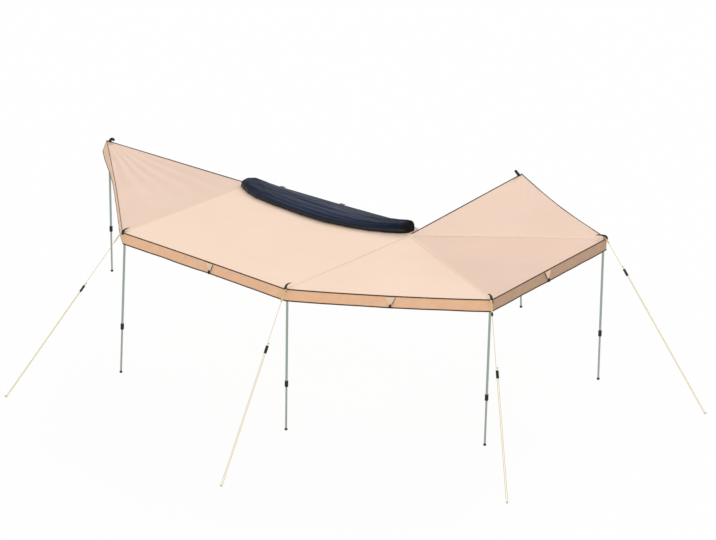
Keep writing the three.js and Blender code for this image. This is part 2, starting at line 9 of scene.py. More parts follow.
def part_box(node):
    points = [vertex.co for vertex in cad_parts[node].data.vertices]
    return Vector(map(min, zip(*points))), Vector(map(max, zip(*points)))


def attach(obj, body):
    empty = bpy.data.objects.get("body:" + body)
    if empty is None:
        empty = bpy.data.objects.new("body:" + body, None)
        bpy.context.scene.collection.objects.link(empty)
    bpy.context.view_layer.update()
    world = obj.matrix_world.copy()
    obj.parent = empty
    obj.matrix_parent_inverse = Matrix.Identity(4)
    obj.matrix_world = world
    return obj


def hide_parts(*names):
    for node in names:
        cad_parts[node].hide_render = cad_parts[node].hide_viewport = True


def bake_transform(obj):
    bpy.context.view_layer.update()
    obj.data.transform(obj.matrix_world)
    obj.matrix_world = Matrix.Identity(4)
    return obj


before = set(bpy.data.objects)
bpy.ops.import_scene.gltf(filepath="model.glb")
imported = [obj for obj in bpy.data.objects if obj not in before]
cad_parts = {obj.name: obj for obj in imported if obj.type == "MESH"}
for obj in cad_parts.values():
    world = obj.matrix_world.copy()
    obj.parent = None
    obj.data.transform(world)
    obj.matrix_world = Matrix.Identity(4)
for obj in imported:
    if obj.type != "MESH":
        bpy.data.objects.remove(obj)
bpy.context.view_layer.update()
scene = bpy.context.scene
scene.view_settings.view_transform = "Standard"

# Camera. It stands far off the awning's rear outboard corner, well above roof height, with a long lens,
# so that the whole opened canopy shows from above. Its focal length was solved in pixels.
PHOTO_WIDTH_PIXELS = 716
FOCAL_PIXELS = 2943.5
SENSOR_WIDTH = 36
CAMERA_PLACE = Vector((-21.0192, 25.9208, 12.9196))
CAMERA_AIM = Vector((1.1210, -1.7339, -1.7000))
camera_lens = bpy.data.cameras.new("camera")
camera_lens.sensor_width = SENSOR_WIDTH
camera_lens.lens = SENSOR_WIDTH * FOCAL_PIXELS / PHOTO_WIDTH_PIXELS
camera_lens.clip_end = 200
camera = bpy.data.objects.new("camera", camera_lens)
camera.location = CAMERA_PLACE
camera.rotation_euler = (CAMERA_AIM - CAMERA_PLACE).to_track_quat("-Z", "Y").to_euler()
scene.collection.objects.link(camera)
scene.camera = camera

# Guy ropes. Four 5 mm braided polyester lines hold the outer corners down. Each is hooked over its
# corner's spike, runs through the black slide, round the ground peg and back up to the slide. A sewn
# webbing loop keeps it on the corner of the cloth.
GROUND = -1.7
ROPE_RADIUS = 0.0025
STRAND_SPACING = 0.016
SLIDE_HEIGHTS = {"b": 1.19, "c": 1.247, "d": 1.135, "e": 1.455}
SLIDE_LENGTH = 0.09
ROPE_TAIL = 0.03
PEG_TURN_RADIUS = 0.0105
EDGE_TURN_RADIUS = 0.012
ROPE_RUNS = {
    "b": [(1.2813, 2.4761, 0.1020), (1.2951, 2.5080, 0.1033), (1.9082, 3.9246, -1.6975)],
    "c": [(-1.3207, 2.5960, 0.1020), (-1.3273, 2.6301, 0.1033), (-1.6119, 4.1092, -1.6975)],
    "d": [(-3.2909, 1.4111, 0.1020), (-3.3151, 1.4359, 0.1033), (-4.3211, 2.4706, -1.6975)],
    "e": [(-3.2508, -0.8867, 0.1020), (-3.2855, -0.8852, 0.1033), (-4.7816, -0.8179, -1.6975)],
}
UP = Vector((0, 0, 1))


class Value:
    """One output in a material's node tree. Python's operators on it add Math nodes."""

    def __init__(self, tree, output=None):
        self.tree = tree
        self.output = output

    def node(self, kind, settings=None, inputs=None, output=0):
        """Adds a node: its settings first, then the values or links of its sockets."""
        made = self.tree.nodes.new("ShaderNode" + kind)
        for name, setting in (settings or {}).items():
            setattr(made, name, setting)
        for name, value in (inputs or {}).items():
            self.feed(made.inputs[name], value)
        return Value(self.tree, made.outputs[output])

    def feed(self, socket, value):
        if isinstance(value, Value):
            self.tree.links.new(value.output, socket)
        else:
            socket.default_value = value

    def maths(self, operation, *others):
        return self.node("Math", {"operation": operation}, dict(enumerate((self, *others))))

    __add__ = __radd__ = partialmethod(maths, "ADD")
    __sub__ = partialmethod(maths, "SUBTRACT")
    __mul__ = partialmethod(maths, "MULTIPLY")
    __truediv__ = partialmethod(maths, "DIVIDE")

    def __rsub__(self, other):
        return self * -1 + other

    def wave(self, pitch):
        """A wave from 0 to 1 that repeats at each pitch."""
        return (self * (2 * pi) / pitch).maths("SINE") * 0.5 + 0.5

    def within(self, low, high):
        """1 above high, 0 below low, and smooth between."""
        inputs = {"Value": self, "From Min": low, "From Max": high}
        return self.node("MapRange", {"interpolation_type": "SMOOTHSTEP", "clamp": True}, inputs)

    def tint(self, low, high):
        """Colours from low to high as this value goes from 0 to 1."""
        mixed = self.tree.nodes.new("ShaderNodeMix")
        mixed.data_type = "RGBA"
        self.feed(mixed.inputs["Factor"], self)
        for socket, colour in ((mixed.inputs[6], low), (mixed.inputs[7], high)):
            self.feed(socket, colour if isinstance(colour, Value) else (*colour, 1))
        return Value(self.tree, mixed.outputs[2])

    def grain(self, scale, detail=3, stretch=(1, 1, 1), roughness=0.55):
        """Noise from 0 to 1 on this vector, at scale grains a metre, stretched along an axis."""
        place = self.node("Mapping", None, {"Vector": self, "Scale": stretch})
        inputs = {"Vector": place, "Scale": scale, "Detail": detail, "Roughness": roughness}
        return self.node("TexNoise", None, inputs)

    def axis(self, letter):
        return self.node("SeparateXYZ", None, {"Vector": self}, letter.upper())


class Finish:
    """A material around one principled shader, with its colour, roughness and bump filled in."""

    def __init__(self, name, **plain):
        self.material = bpy.data.materials.new(name)
        self.material.use_nodes = True
        self.tree = self.material.node_tree
        self.shader = self.tree.nodes["Principled BSDF"]
        self.start = Value(self.tree)
        for socket, value in plain.items():
            self.shader.inputs[socket.replace("_", " ")].default_value = value

    def object_place(self):
        return self.start.node("TexCoord", None, None, "Object")

    def cloth_place(self):
        return self.start.node("UVMap", {"uv_map": "UVMap"})

    def set(self, socket, value):
        self.start.feed(self.shader.inputs[socket], value)

    def bump(self, height, distance):
        self.set("Normal", self.start.node("Bump", None, {"Height": height, "Distance": distance}))


def woven_finish(name, ribs, pitch, stain_scale, rib_share, shades, depth, sewn=False, roughness=0.85):
    """A cord or tape. ribs gives the axes that each set of ribs lies across, with their weights."""
    finish = Finish(name, Roughness=roughness)
    place = finish.cloth_place() if sewn else finish.object_place()
    weave = 1
    for axes in ribs:
        weave = sum(place.axis(letter) * weight for letter, weight in axes.items()).wave(pitch) * weave
    tone = weave * rib_share + place.grain(stain_scale) * (1 - rib_share)
    finish.set("Base Color", tone.tint(*shades))
    finish.bump(weave, depth)
    return finish


def hard_finish(name, stain_grain, skin_grain, shades, roughness, depth, worn=None, **plain):
    """Metal or plastic. Stains set its colour and roughness, and show only where worn says."""
    finish = Finish(name, **plain)
    place = finish.object_place()
    stains = place.grain(*stain_grain)
    if worn:
        stains = stains.within(*worn)
    finish.set("Base Color", stains.tint(*shades))
    finish.set("Roughness", stains * roughness[1] + roughness[0])
    finish.bump(place.grain(*skin_grain), depth)
    return finish


ROPE_SHADES = ((0.66, 0.49, 0.05), (0.90, 0.72, 0.10))
ROPE_STRANDS = [{"z": 1, "x": 0.6}, {"z": 1, "y": -0.6}]
rope_finish = woven_finish(
    "braided_rope", ROPE_STRANDS, 0.006, 9, 0.6, ROPE_SHADES, 0.0006, roughness=0.8
)


def add_object(name, data, material):
    piece = bpy.data.objects.new(name, data)
    scene.collection.objects.link(piece)
    piece.data.materials.append(material)
    return piece


def finish_mesh(name, mesh, finish):
    data = bpy.data.meshes.new(name)
    mesh.to_mesh(data)
    mesh.free()
    return add_object(name, data, finish.material)


SHARP_ANGLE = radians(50)


def closed_mesh(name, mesh, finish):
    """A smooth shaded piece of closed shells that keeps its sharp edges."""
    bmesh.ops.recalc_face_normals(mesh, faces=mesh.faces)
    for face in mesh.faces:
        face.smooth = True
    piece = finish_mesh(name, mesh, finish)
    piece.data.set_sharp_from_angle(angle=SHARP_ANGLE)
    return piece


def sweep(mesh, points, half_across, half_up, sides=8, up=UP, taper=None):
    """Adds a closed oval strip along points. taper gives the section's size at a share of the length."""
    rings = []
    last = len(points) - 1
    for i, point in enumerate(points):
        along = (points[min(i + 1, last)] - points[max(i - 1, 0)]).normalized()
        across = along.cross(up).normalized()
        over = across.cross(along)
        full = taper(i / last) if taper else 1
        place = Matrix((across * half_across * full, over * half_up * full, along)).transposed().to_4x4()
        place.translation = point
        at_end = i in (0, last)
        made = bmesh.ops.create_circle(mesh, cap_ends=at_end, radius=1, segments=sides, matrix=place)
        rings.append({edge for vertex in made["verts"] for edge in vertex.link_edges})
    for first, second in zip(rings, rings[1:]):
        bmesh.ops.bridge_loops(mesh, edges=list(first | second))


def full_turn(count):
    """Angles evenly spaced round a circle."""
    return [2 * pi * i / count for i in range(count)]


def round_line(name, points, radius, finish, cyclic=False):
    """A round line through points, as a curve with its own thickness."""
    line = bpy.data.curves.new(name, "CURVE")
    line.dimensions = "3D"
    line.bevel_depth = radius
    line.bevel_resolution = 3
    line.use_fill_caps = not cyclic
    spline = line.splines.new("POLY")
    spline.points.add(len(points) - 1)
    for knot, point in zip(spline.points, points):
        knot.co = (*point, 1)
    spline.use_cyclic_u = cyclic
    return add_object(name, line, finish.material)


def turned_corner(before, corner, after, radius, steps=6):
    """Points of a round bend at corner between two straight runs."""
    into = (corner - before).normalized()
    out = (after - corner).normalized()
    half = into.angle(out) / 2
    reach = radius * tan(half)
    start = corner - into * reach
    end = corner + out * reach
    middle = corner + (out - into).normalized() * (radius / cos(half) - radius)
    bend = []
    for i in range(steps + 1):
        t = i / steps
        pull = (middle * 2 - (start + end) / 2) * 2 * t * (1 - t)
        bend.append(start * (1 - t) ** 2 + pull + end * t**2)
    return bend


def rope_route(spike, edge, ground, slide_height):
    """The rope's centreline: out to the edge, down to the peg, round it, and up to its tail."""
    run = (ground - edge).normalized()
    sideways = Vector((-run.y, run.x, 0)).normalized()
    to_slide = (edge.z - (GROUND + slide_height)) / -run.z
    tail = edge + run * (to_slide - SLIDE_LENGTH / 2 - ROPE_TAIL) + sideways * STRAND_SPACING
    turn_centre = ground - run * PEG_TURN_RADIUS + sideways * (STRAND_SPACING / 2)
    straight = [edge.lerp(ground, share) for share in (0.1, 0.3, 0.5, 0.7, 0.9)]
    turn = []
    for angle in full_turn(24)[:13]:
        across = run * sin(angle) - sideways * cos(angle)
        turn.append(turn_centre + across * PEG_TURN_RADIUS)
    back = ground + sideways * STRAND_SPACING
    upward = [back.lerp(tail, share) for share in (0.1, 0.4, 0.7, 1)]
    return [spike, *turned_corner(spike, edge, ground, EDGE_TURN_RADIUS), *straight, *turn, *upward]


def stopper_knot(name, place, size, finish):
    """An overhand knot as a closed round line."""
    points = []
    for t in full_turn(48):
        x = sin(t) + 2 * sin(2 * t)
        y = cos(t) - 2 * cos(2 * t)
        points.append(place + Vector((x, y, -1.2 * sin(3 * t))) * size)
    return round_line(name, points, ROPE_RADIUS, finish, cyclic=True)


WEBBING_SHADES = ((0.70, 0.53, 0.22), (0.88, 0.72, 0.36))
webbing_finish = woven_finish(
    "pale_webbing", [{"z": 1.4, "x": 1}], 0.0022, 25, 0.5, WEBBING_SHADES, 0.0005
)

SPIKE_EYE_RADIUS = 0.0075
KNOT_SIZE = 0.0026
LOOP_HALF_WIDTH = 0.013
LOOP_HALF_THICKNESS = 0.0045
LOOP_POINTS = 7
LOOP_LENGTHS = {"b": 0.15, "c": 0.15, "d": 0.15, "e": 0.06}
for corner_name, knots in ROPE_RUNS.items():
    spike, edge, ground = [Vector(knot) for knot in knots]
    route = rope_route(spike, edge, ground, SLIDE_HEIGHTS[corner_name])
    rope = round_line(f"rope_{corner_name}", route, ROPE_RADIUS, rope_finish)
    outward = (edge - spike).normalized()
    eye_centre = spike - outward * SPIKE_EYE_RADIUS
    spokes = [Matrix.Rotation(angle, 3, "Z") @ outward for angle in full_turn(24)]
    eye_points = [eye_centre + spoke * SPIKE_EYE_RADIUS for spoke in spokes]
    eye = round_line(f"rope_eye_{corner_name}", eye_points, ROPE_RADIUS, rope_finish, cyclic=True)
    knot = stopper_knot(f"rope_knot_{corner_name}", route[-1], KNOT_SIZE, rope_finish)
    over_edge = turned_corner(spike, edge, ground, EDGE_TURN_RADIUS)
    down = (ground - edge).normalized()
    loop_line = [spike.lerp(over_edge[0], 0.4), *over_edge]
    loop_step = down * LOOP_LENGTHS[corner_name] / LOOP_POINTS
    loop_line += [edge + loop_step * i for i in range(1, LOOP_POINTS + 1)]
    loop_mesh = bmesh.new()
    sweep(loop_mesh, loop_line, LOOP_HALF_WIDTH, LOOP_HALF_THICKNESS, sides=12)
    guy_loop = closed_mesh(f"guy_loop_{corner_name}", loop_mesh, webbing_finish)
    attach(rope, f"arm_{corner_name}_body")
    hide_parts(f"guy_rope_{corner_name}")
    for piece in (eye, knot, guy_loop):
        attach(piece, f"arm_{corner_name}_body")

# Rail, caps, brackets and hubs. The rail is a drawn aluminium box with a satin anodised skin, its caps
# are moulded, the brackets are bent and powder coated steel, and the pins are turned and zinc plated.
RAIL_GREY = (0.46, 0.48, 0.48)
RAIL_LIGHT = (0.58, 0.60, 0.60)
rail_finish = Finish("satin_aluminium", Metallic=0.9)
rail_place = rail_finish.object_place()
drawn_lines = rail_place.grain(900, 2, (0.004, 1, 1))
rail_marks = rail_place.grain(14)
rail_finish.set("Base Color", (drawn_lines * 0.5 + rail_marks * 0.5).tint(RAIL_GREY, RAIL_LIGHT))
rail_finish.set("Roughness", drawn_lines * 0.2 + rail_marks * 0.1 + 0.25)
rail_finish.bump(drawn_lines, 0.00005)

COAT_SHADES = ((0.018, 0.018, 0.02), (0.05, 0.05, 0.052))
ZINC_SHADES = ((0.36, 0.37, 0.38), (0.56, 0.57, 0.58))
PLASTIC_BLACK = (0.012, 0.012, 0.014)
PLASTIC_SHADES = (PLASTIC_BLACK, (0.04, 0.04, 0.042))
coat_finish = hard_finish(
    "powder_coat", (40, 5), (700, 2), COAT_SHADES, (0.38, 0.2), 0.00012, worn=(0.55, 0.75)
)
zinc_finish = hard_finish(
    "zinc_plate", (60, 4), (400,), ZINC_SHADES, (0.25, 0.25), 0.00005, Metallic=0.95
)
plastic_finish = hard_finish(
    "moulded_plastic",
    (35, 4),
    (1500, 2),
    PLASTIC_SHADES,
    (0.45, 0.15),
    0.00008,
    worn=(0.5, 0.8),
    Specular_IOR_Level=0.25,
)

WELD_DISTANCE = 0.00001
ROUNDED_FROM = radians(30)


def dress(kind, places, finish, edge_radius=0.0006):
    """Gives the CAD parts of one kind their finish, rounds their sharp edges and smooths their shading."""
    for place in places:
        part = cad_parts[f"{kind}_{place}"]
        part.data.materials.clear()
        part.data.materials.append(finish.material)
        for polygon in part.data.polygons:
            polygon.use_smooth = True
        weld = part.modifiers.new("weld", "WELD")
        weld.merge_threshold = WELD_DISTANCE
        rounding = part.modifiers.new("edges", "BEVEL")
        rounding.width = edge_radius
        rounding.segments = 2
        rounding.limit_method = "ANGLE"
        rounding.angle_limit = ROUNDED_FROM
        part.modifiers.new("shading", "WEIGHTED_NORMAL")


ENDS = ("rear", "front")
dress("base", ["rail"], rail_finish, 0.0008)
dress("rail_cap", ENDS, plastic_finish)
dress("hub_bracket", ENDS, coat_finish, 0.001)
dress("king_pin", ENDS, zinc_finish)
dress("roof_bracket", (*ENDS, "middle"), coat_finish, 0.001)

# Arms, tip fittings, slides and pegs. The arms are square aluminium tube, the fittings at their tips
# carry the cloth corner on a post, and the slides and pegs belong to the ropes.
ARMS = "abcdef"
dress("arm", ARMS, rail_finish, 0.001)
dress("tip_fitting", ARMS, plastic_finish, 0.0008)
dress("rope_tensioner", ROPE_RUNS, plastic_finish, 0.0015)
dress("ground_peg", ROPE_RUNS, zinc_finish)

# Poles. Two drawn aluminium tubes slide in each other. They have a grey-green anodised skin that shows
# fine lines along the tube, and the lower one ends in a black moulded foot.
POLE_GREY = (0.262, 0.33, 0.286)
POLE_LIGHT = (0.405, 0.482, 0.425)
FOOT_TOP = GROUND + 0.028
pole_finish = Finish("anodised_tube")
pole_place = pole_finish.object_place()
pole_lines = pole_place.grain(500, 2, (1, 1, 0.01))
pole_scuffs = pole_place.grain(25, 4, (1, 1, 0.3))
above_foot = pole_place.axis("z").within(FOOT_TOP - 0.0005, FOOT_TOP + 0.0005)
tube_tone = (pole_lines * 0.4 + pole_scuffs * 0.6).tint(POLE_GREY, POLE_LIGHT)
pole_finish.set("Base Color", above_foot.tint(PLASTIC_BLACK, tube_tone))
pole_finish.set("Roughness", pole_scuffs * 0.2 + 0.6 - above_foot * 0.3)
pole_finish.set("Metallic", above_foot * 0.35)
pole_finish.bump(pole_lines, 0.00005)
dress("upper_pole", ARMS, pole_finish, 0.0004)
dress("lower_pole", ARMS, pole_finish, 0.0004)
dress("pole_clamp", ARMS, plastic_finish, 0.0008)

# Canopy. Six panels of coated polyester canvas are stretched between the arms and sewn together along
# them. The cloth sags a little between the arms, and shallow tension folds run out of each corner.
CLOTH_ABOVE_MOUNT = 0.02
CORNER_RISE = 0.08
ARM_LENGTH = 2.33
HUB_OPENING = 0.04
CLOTH_THICKNESS = 0.001
RAIL_EDGE_Y = 0.0556
PANEL_SAG = 0.022
ARM_PLACES = {
    "a": ("front", 3),
    "b": ("front", 90),
    "c": ("rear", 91),
    "d": ("rear", 151),
    "e": ("rear", 211),
    "f": ("rear", 271),
}
# The tension folds at each corner: how strong they are, and how far they reach
FOLDS = {
    "a": (0.019, 1.5),
    "b": (0.0022, 0.7),
    "c": (0.002, 0.7),
    "d": (0.0028, 0.7),
    "e": (0.0028, 0.7),
    "f": (0.0045, 0.8),
}
FOLDS_PER_RADIAN = 6.5
FOLD_DRIFT = 2.4
FULL_FOLD_DISTANCE = 0.6


def hub_centre(hub):
    low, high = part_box(f"king_pin_{hub}")
    middle = (low + high) / 2
    return Vector((middle.x, middle.y, CLOTH_ABOVE_MOUNT))


HUBS = {hub: hub_centre(hub) for hub in ENDS}


def arm_direction(azimuth):
    angle = radians(azimuth)
    return Vector((cos(angle), sin(angle), 0))


def cloth_corner(arm_name):
    hub, azimuth = ARM_PLACES[arm_name]
    return HUBS[hub] + arm_direction(azimuth) * ARM_LENGTH + UP * CORNER_RISE


CORNERS = {arm_name: cloth_corner(arm_name) for arm_name in ARM_PLACES}


def smooth(share):
    share = min(1, max(0, share))
    return share * share * (3 - 2 * share)


def middle_hump(share):
    """0 at both ends of a share and 1 at its middle."""
    return 4 * share * (1 - share)


def wrapped(angle):
    return (angle + 180) % 360 - 180


def share_turned(centre, start, end, point):
    """How far round a centre a point lies, from 0 at the start's bearing to 1 at the end's."""
    bearing = degrees(atan2(point.y - centre.y, point.x - centre.x))
    return min(1, max(0, wrapped(bearing - start) / wrapped(end - start)))


def tension_folds(point, names):
    """Height of the shallow folds that fan out of the named corners."""
    height = 0
    for name in names:
        away = point - CORNERS[name]
        distance = hypot(away.x, away.y)
        bearing = atan2(away.y, away.x)
        drift = noise.noise(Vector((bearing * 3, distance * 1.5, ord(name)))) * FOLD_DRIFT
        ridge = sin(bearing * 2 * pi * FOLDS_PER_RADIAN + drift)
        strength, reach = FOLDS[name]
        strength *= min(distance, FULL_FOLD_DISTANCE) * smooth(distance * 2 / FULL_FOLD_DISTANCE)
        height += strength * exp(-((distance / reach) ** 2)) * ridge
    return height


def slack(point):
    """Slow unevenness of stretched cloth."""
    return noise.noise(point * 1.7) * 0.006 + noise.noise(point * 4.5 + Vector((7, 3, 1))) * 0.0016


def stretched(point, names, out, share):
    """Gives a flat panel's point its sag and folds. The arms beside it and the hub hold it even."""
    hold = sin(pi * share) ** 0.7
    sag = PANEL_SAG * sin(pi * out) * middle_hump(share)
    uneven = (tension_folds(point, names) + slack(point)) * hold * smooth(out * 4)
    return point + UP * (uneven - sag)


class FanPanel:
    """A panel between two arms of one hub. Shares run out from the hub and round from the first arm."""

    def __init__(self, first, second, bow, sag, moves=None):
        self.names = (first, second)
        self.hub = HUBS[ARM_PLACES[first][0]]
        self.azimuths = (ARM_PLACES[first][1], ARM_PLACES[second][1])
        self.bow = bow
        self.sag = sag
        self.still, self.moving = moves or self.names
        self.bodies = (f"arm_{self.still}_body", f"arm_{self.moving}_body")

    def whole_share(self, turn):
        return turn

    def edge(self, turn):
        point = CORNERS[self.names[0]].lerp(CORNERS[self.names[1]], turn)
        inward = self.hub - point
        inward.z = 0
        return point + (inward.normalized() * self.bow - UP * self.sag) * middle_hump(turn)

    def top(self, out, turn):
        azimuth = self.azimuths[0] + (self.azimuths[1] - self.azimuths[0]) * turn
        inner = self.hub + arm_direction(azimuth) * HUB_OPENING
        return stretched(inner.lerp(self.edge(turn), out), self.names, out, turn)

    def weight(self, point):
        return share_turned(self.hub, ARM_PLACES[self.still][1], ARM_PLACES[self.moving][1], point)

    def chord(self):
        return (CORNERS[self.names[0]] - CORNERS[self.names[1]]).length

    def flat(self):
        """The cut's width and length, and its area."""
        width = hypot(ARM_LENGTH, CORNER_RISE)
        height = sqrt(width**2 - (self.chord() / 2) ** 2)
        return (width, self.chord()), self.chord() * height / 2


class SidePanel:
    """Half of the long panel between the two hubs, from the rail's bead to the outer edge."""

    KNEE_SHARE = 0.08
    BOW = 0.018
    SAG = 0.004

    def __init__(self, hub, span):
        self.names = ("b", "c")
        self.hub = HUBS[hub]
        self.span = span
        self.arm = {"front": "b", "rear": "c"}[hub]
        self.bodies = ("rail", f"arm_{self.arm}_body")

    def whole_share(self, turn):
        return self.span[0] + (self.span[1] - self.span[0]) * turn

    def edge(self, turn):
        share = self.whole_share(turn)
        point = CORNERS["b"].lerp(CORNERS["c"], share)
        return point - Vector((0, self.BOW, self.SAG)) * middle_hump(share)

    def top(self, out, turn):
        share = self.whole_share(turn)
        knee = HUBS["front"].lerp(HUBS["rear"], share)
        inner = Vector((knee.x, RAIL_EDGE_Y, knee.z))
        if out < self.KNEE_SHARE:
            return inner.lerp(knee, out / self.KNEE_SHARE)
        beyond = (out - self.KNEE_SHARE) / (1 - self.KNEE_SHARE)
        return stretched(knee.lerp(self.edge(turn), beyond), self.names, beyond, share)

    def weight(self, point):
        """The point's share of the arm's turn: 1 near the arm, falling to 0 towards the rail and towards
        mid length.
        """
        rail_azimuth = 0 if self.arm == "c" else 180
        off_rail = share_turned(self.hub, rail_azimuth, ARM_PLACES[self.arm][1], point)
        return off_rail * smooth(point.x / self.hub.x)

    def chord(self):
        return (CORNERS["b"] - CORNERS["c"]).length * (self.span[1] - self.span[0])

    def flat(self):
        """The cut's width and length, and its area."""
        width = CORNERS["c"].y - RAIL_EDGE_Y
        return (width, self.chord()), width * (self.chord() + abs(self.hub.x)) / 2


PANELS = {
    "ab": FanPanel("a", "b", bow=0.018, sag=0.006, moves=("b", "a")),
    "side_front": SidePanel("front", (0, 0.5)),
    "side_rear": SidePanel("rear", (0.5, 1)),
    "cd": FanPanel("c", "d", bow=0.010, sag=0.022),
    "de": FanPanel("d", "e", bow=0.014, sag=0.008),
    "ef": FanPanel("e", "f", bow=0.048, sag=0.006),
}


def cloth_sheet(name, columns, rows, place, finish, size=None, thickness=CLOTH_THICKNESS):
    """A grid of cloth with a wall thickness. place gives the point for two shares, from 0 to 1.
    Its UVs are in metres: the shares times size, or else the point's place seen from above."""
    mesh = bmesh.new()
    uv = mesh.loops.layers.uv.new("UVMap")
    bmesh.ops.create_grid(mesh, x_segments=columns, y_segments=rows, size=1, calc_uvs=True)
    for vertex in mesh.verts:
        vertex.co = place((vertex.co.x + 1) / 2, (vertex.co.y + 1) / 2)
    for face in mesh.faces:
        for loop in face.loops:
            across, along = loop[uv].uv
            loop[uv].uv = (across * size[0], along * size[1]) if size else loop.vert.co.xy
    mesh.normal_update()
    made = bmesh.ops.extrude_face_region(mesh, geom=mesh.faces[:], use_keep_orig=True)
    for item in made["geom"]:
        if isinstance(item, bmesh.types.BMVert):
            item.co -= item.normal * thickness
    return closed_mesh(name, mesh, finish)


def fold_with(piece, panel):
    """Bakes a piece of the canopy's place into its mesh, and works out each point's share of the panel's
    joint, which is not used.
    """
    panel.edge(0.5)
    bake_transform(piece)
    weights = [panel.weight(vertex.co) for vertex in piece.data.vertices]


THREAD_PITCH = 0.0012


def canvas_finish(name, light, dark, shade_by_arm=None):
    """Coated canvas: a plain weave of fine threads, faint clouds of colour and a few slubs.
    The last argument gives two arms of the rear hub and a level for each, a painted shade that grades
    between them."""
    finish = Finish(name, Sheen_Weight=0.15, Sheen_Roughness=0.6)
    place = finish.cloth_place()
    weave = place.axis("x").wave(THREAD_PITCH) * place.axis("y").wave(THREAD_PITCH)
    clouds = place.grain(1.1, 4)
    slubs = place.grain(60, 3, (1, 0.12, 1))
    tone = (clouds * 0.55 + slubs * 0.25 + weave * 0.2).within(0.25, 0.75)
    colour = tone.tint(dark, light)
    if shade_by_arm:
        # Painted shade: the colour grades from one arm's level to the other's, round the rear hub.
        bearings = [radians(180 - ARM_PLACES[arm][1]) for arm in shade_by_arm]
        bearing = (place.axis("y") - HUBS["rear"].y).maths("ARCTAN2", place.axis("x") * -1 + HUBS["rear"].x)
        shades = []
        for level in shade_by_arm.values():
            shades.append(tone.tint([part * level for part in dark], [part * level for part in light]))
        colour = bearing.within(bearings[1], bearings[0]).tint(shades[1], shades[0])
    finish.set("Base Color", colour)
    finish.set("Roughness", slubs * 0.15 + 0.75)
    finish.bump(weave * 0.3 + slubs * 0.7, 0.0004)
    return finish


# One canvas given in four colours: the panels' different tones are painted light and shade. The side panels
# and CD take the painted lit colour, AB the painted shade, and DE and EF painted shade that grades round
# the rear hub.
canvas_painted_lit = canvas_finish("canvas_painted_lit", (0.965, 0.735, 0.575), (0.915, 0.675, 0.51))
canvas_shaded = canvas_finish("canvas_shaded", (0.875, 0.635, 0.495), (0.805, 0.575, 0.44))
canvas_rear_painted_shade = canvas_finish(
    "canvas_rear_painted_shade", (0.925, 0.68, 0.535), (0.86, 0.62, 0.475), shade_by_arm={"e": 0.975, "f": 1.012}
)
canvas_turned_painted_shade = canvas_finish(
    "canvas_turned_painted_shade", (0.875, 0.62, 0.483), (0.805, 0.561, 0.43), shade_by_arm={"d": 0.955, "e": 1.029}
)
PANEL_FINISHES = {"ab": canvas_shaded, "de": canvas_turned_painted_shade, "ef": canvas_rear_painted_shade}
SIDE_GRID = (100, 60)
FAN_GRID = (96, 96)
for name, panel in PANELS.items():
    columns, rows = SIDE_GRID if isinstance(panel, SidePanel) else FAN_GRID
    finish = PANEL_FINISHES.get(name, canvas_painted_lit)
    canopy = cloth_sheet(f"canopy_cloth_{name}", columns, rows, panel.top, finish)
    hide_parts(f"canopy_{name}")
    fold_with(canopy, panel)
    flat, area = panel.flat()

# Seams. A flat-felled seam 24 mm wide with two rows of stitches runs along each inner arm, from the
# hub to the corner, and a stitched round patch closes the canopy over each hub's pin.
SEAM_WIDTH = 0.024
SEAM_LIFT = 0.0012
STITCH_PITCH = 0.004
STITCH_INSET = 0.004
SEAM_THICKNESS = 0.0006
SEAM_GRID = (4, 60)
PATCH_GRID = (12, 48)
PATCH_RADIUS = 0.062
PATCH_LIFT = 0.0016
PATCH_DOME = 0.001
SEAM_LIGHT = (0.94, 0.70, 0.55)
SEAM_DARK = (0.88, 0.635, 0.485)
SEAM_THREAD = (0.97, 0.77, 0.61)


def stitch_row(across, along, at):
    """1 on the threads of a row of stitches at a distance across the cloth."""
    off_row = (across - at).maths("ABSOLUTE")
    return (1 - off_row.within(0.0004, 0.0009)) * along.wave(STITCH_PITCH).within(0.25, 0.45)


def seam_finish(name, rows):
    """Sewn canvas with rows of stitches at the given distances across it."""
    finish = Finish(name, Roughness=0.8)
    place = finish.cloth_place()
    across, along = place.axis("x"), place.axis("y")
    stitches = sum(stitch_row(across, along, at) for at in rows)
    pucker = place.grain(45, 3, (0.3, 1, 1))
    cloth = pucker.tint(SEAM_DARK, SEAM_LIGHT)
    finish.set("Base Color", (stitches * 0.7).tint(cloth, stitches.tint(SEAM_DARK, SEAM_THREAD)))
    finish.bump(pucker * 0.6 + stitches * 0.4, 0.0008)
    return finish


def seam_point(arm_name, across, along):
    hub, azimuth = ARM_PLACES[arm_name]
    inner = HUBS[hub] + arm_direction(azimuth) * HUB_OPENING
    sideways = arm_direction(azimuth - 90) * (across - 0.5) * SEAM_WIDTH
    lift = UP * SEAM_LIFT * (0.6 + 0.4 * middle_hump(across))
    return inner.lerp(CORNERS[arm_name], along) + sideways + lift


def patch_point(hub, out, turn):
    radius = PATCH_RADIUS * max(0.01, out)
    lift = PATCH_LIFT + PATCH_DOME * smooth((1 - out) * 6)
    return HUBS[hub] + arm_direction(360 * turn) * radius + UP * lift


def sewn_piece(name, body, grid, place, finish, size, thickness):
    """A small sheet of cloth or webbing that goes with one body."""
    piece = cloth_sheet(name, *grid, place, finish, size, thickness)
    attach(piece, body)


arm_seam_finish = seam_finish("arm_seam", (STITCH_INSET, SEAM_WIDTH - STITCH_INSET))
for arm_name in "bcde":
    place = partial(seam_point, arm_name)
    size = (SEAM_WIDTH, ARM_LENGTH)
    body = f"arm_{arm_name}_body"
    sewn_piece(f"seam_{arm_name}", body, SEAM_GRID, place, arm_seam_finish, size, SEAM_THICKNESS)

patch_finish = seam_finish("hub_patch", (PATCH_RADIUS - STITCH_INSET,))
for hub in HUBS:
    place = partial(patch_point, hub)
    size = (PATCH_RADIUS, 2 * pi * PATCH_RADIUS)
    sewn_piece(f"hub_patch_{hub}", "rail", PATCH_GRID, place, patch_finish, size, SEAM_THICKNESS)

